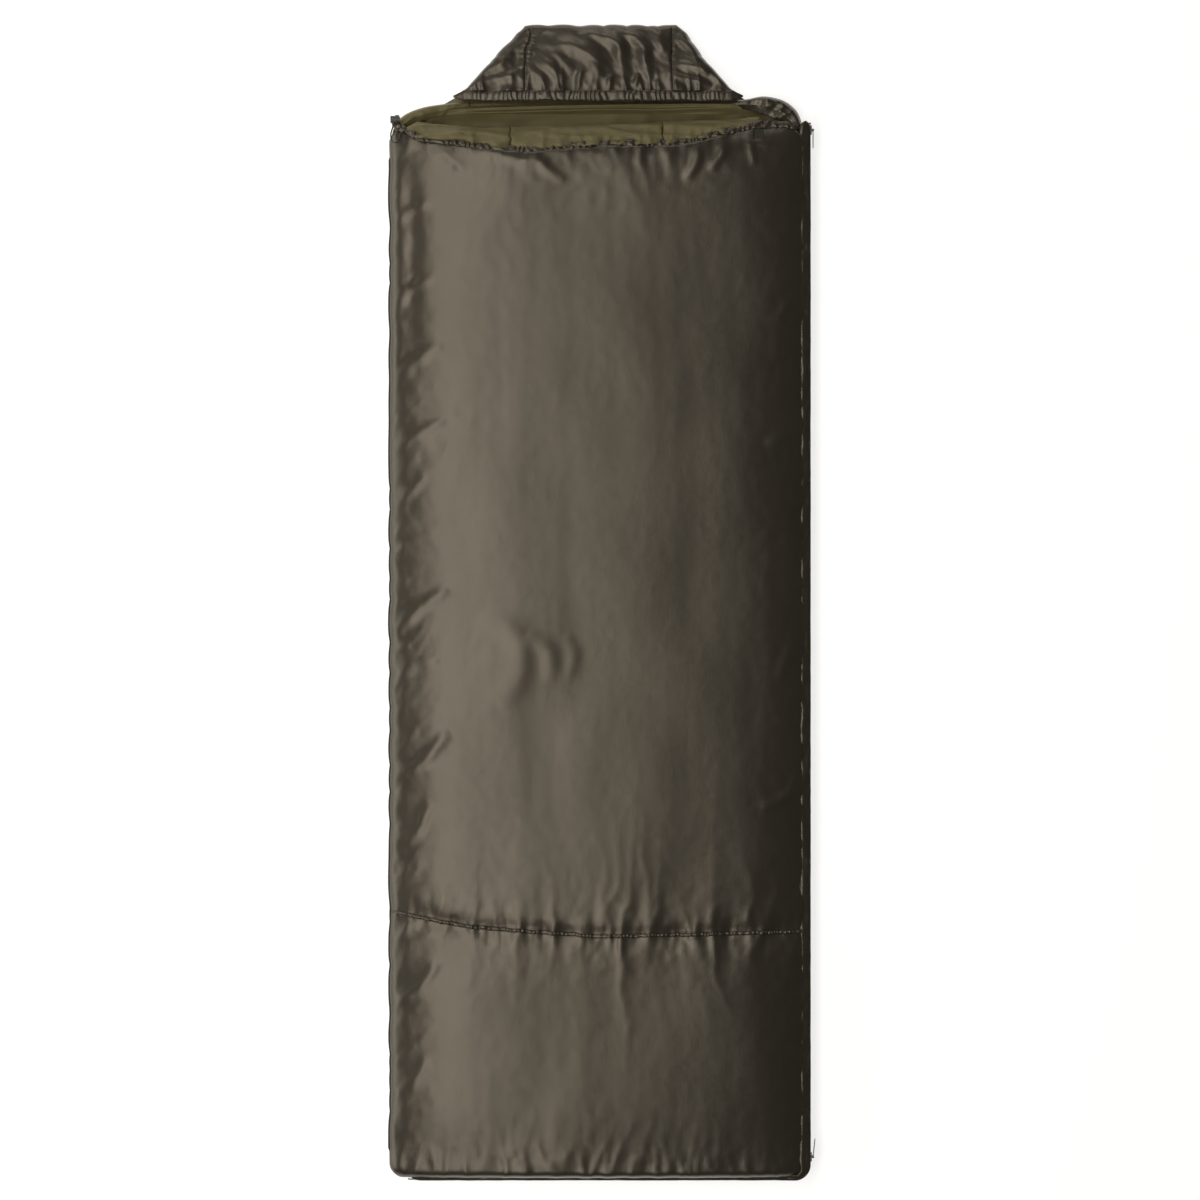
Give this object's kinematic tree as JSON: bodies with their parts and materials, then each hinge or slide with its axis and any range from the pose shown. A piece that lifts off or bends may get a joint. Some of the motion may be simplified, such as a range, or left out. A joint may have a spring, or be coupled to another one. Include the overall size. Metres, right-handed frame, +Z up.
{
  "type": "bivy sack",
  "caption": "Padded rectangular bivy sack lying flat, with a gathered hood, drawcord neck, two-way side and foot zip and a cross seam near the foot.",
  "frame": {"origin": "on the ground, under the middle of the whole outline", "axes": "+Y from the foot to the hood, +X to the zip side, +Z up"},
  "size_m": [0.7716, 2.0898, 0.076],
  "materials": {
    "outer_fabric": "satin",
    "lining_fabric": "matte",
    "filling": "matte",
    "binding_tape": "matte",
    "zip_tape": "matte",
    "zip_coil": "satin",
    "cord": "matte",
    "lock_plastic": "matte",
    "spring_steel": "satin",
    "slider_metal": "satin",
    "pull_metal": "satin"
  },
  "bodies": {
    "back": {"back_base_shell": "outer_fabric", "back_wall_shell": "outer_fabric", "back_fill": "filling", "back_lining": "lining_fabric", "left_fold_binding": "binding_tape", "hood_seam_binding": "binding_tape", "draft_tube": "lining_fabric", "zip_facing_back": "binding_tape", "zip_tape_back": "zip_tape", "zip_chain_back": "zip_coil", "zip_bottom_stop": "zip_coil"},
    "cover": {"cover_main_shell": "outer_fabric", "cover_foot_shell": "outer_fabric", "cover_main_fill": "filling", "cover_foot_fill": "filling", "cover_lining": "lining_fabric", "neck_channel": "outer_fabric", "neck_drawcord": "cord", "collar_left": "lining_fabric", "collar_centre": "lining_fabric", "collar_right": "lining_fabric", "zip_facing_cover": "binding_tape", "zip_tape_cover": "zip_tape", "zip_chain_cover": "zip_coil", "zip_top_stop": "zip_coil", "lock_barrel": "lock_plastic", "lock_spring": "spring_steel", "neck_cord_loop": "cord"},
    "hood": {"hood_base_shell": "outer_fabric", "hood_back_fill": "filling", "hood_back_lining": "lining_fabric", "hood_front_fill": "filling", "hood_front_lining": "lining_fabric", "hood_left_panel": "outer_fabric", "hood_centre_panel": "outer_fabric", "hood_right_panel": "outer_fabric", "hood_channel": "outer_fabric", "hood_elastic": "cord"},
    "upper_slider": {"upper_slider": "slider_metal"},
    "upper_pull": {"upper_pull": "pull_metal"},
    "lower_slider": {"lower_slider": "slider_metal"},
    "lower_pull": {"lower_pull": "pull_metal"},
    "lock_button": {"lock_button": "lock_plastic"},
    "zip_guard": {"zip_guard_tab": "binding_tape"}
  },
  "joints": [
    {"name": "cover_open", "type": "hinge", "parent": "back", "child": "cover", "pos_m": [-0.378, 0, 0.038], "axis": [0, -1, 0], "range_deg": [0, 178]},
    {"name": "hood_lift", "type": "hinge", "parent": "back", "child": "hood", "pos_m": [0, 0.9, 0.0166], "axis": [1, 0, 0], "range_deg": [0, 60]},
    {"name": "upper_slider_travel", "type": "slide", "parent": "cover", "child": "upper_slider", "axis": [0, -1, 0], "range_m": [0, 1.2]},
    {"name": "upper_pull_swing", "type": "hinge", "parent": "upper_slider", "child": "upper_pull", "pos_m": [0.3872, 0.85, 0.038], "axis": [0, 0, 1], "range_deg": [0, 165]},
    {"name": "lower_slider_travel", "type": "slide", "parent": "cover", "child": "lower_slider", "axis": [0, 1, 0], "range_m": [0, 0.6]},
    {"name": "lower_pull_swing", "type": "hinge", "parent": "lower_slider", "child": "lower_pull", "pos_m": [0.3872, -1.003, 0.038], "axis": [0, 0, -1], "range_deg": [-4, 160]},
    {"name": "lock_button_press", "type": "slide", "parent": "cover", "child": "lock_button", "axis": [-1, 0, 0], "range_m": [0, 0.003], "stiffness_N_per_m": 500, "deforming": ["lock_spring"]},
    {"name": "zip_guard_fold", "type": "hinge", "parent": "cover", "child": "zip_guard", "pos_m": [0.277, 0.838, 0.06652], "axis": [0, -1, 0], "range_deg": [0, 150]}
  ]
}
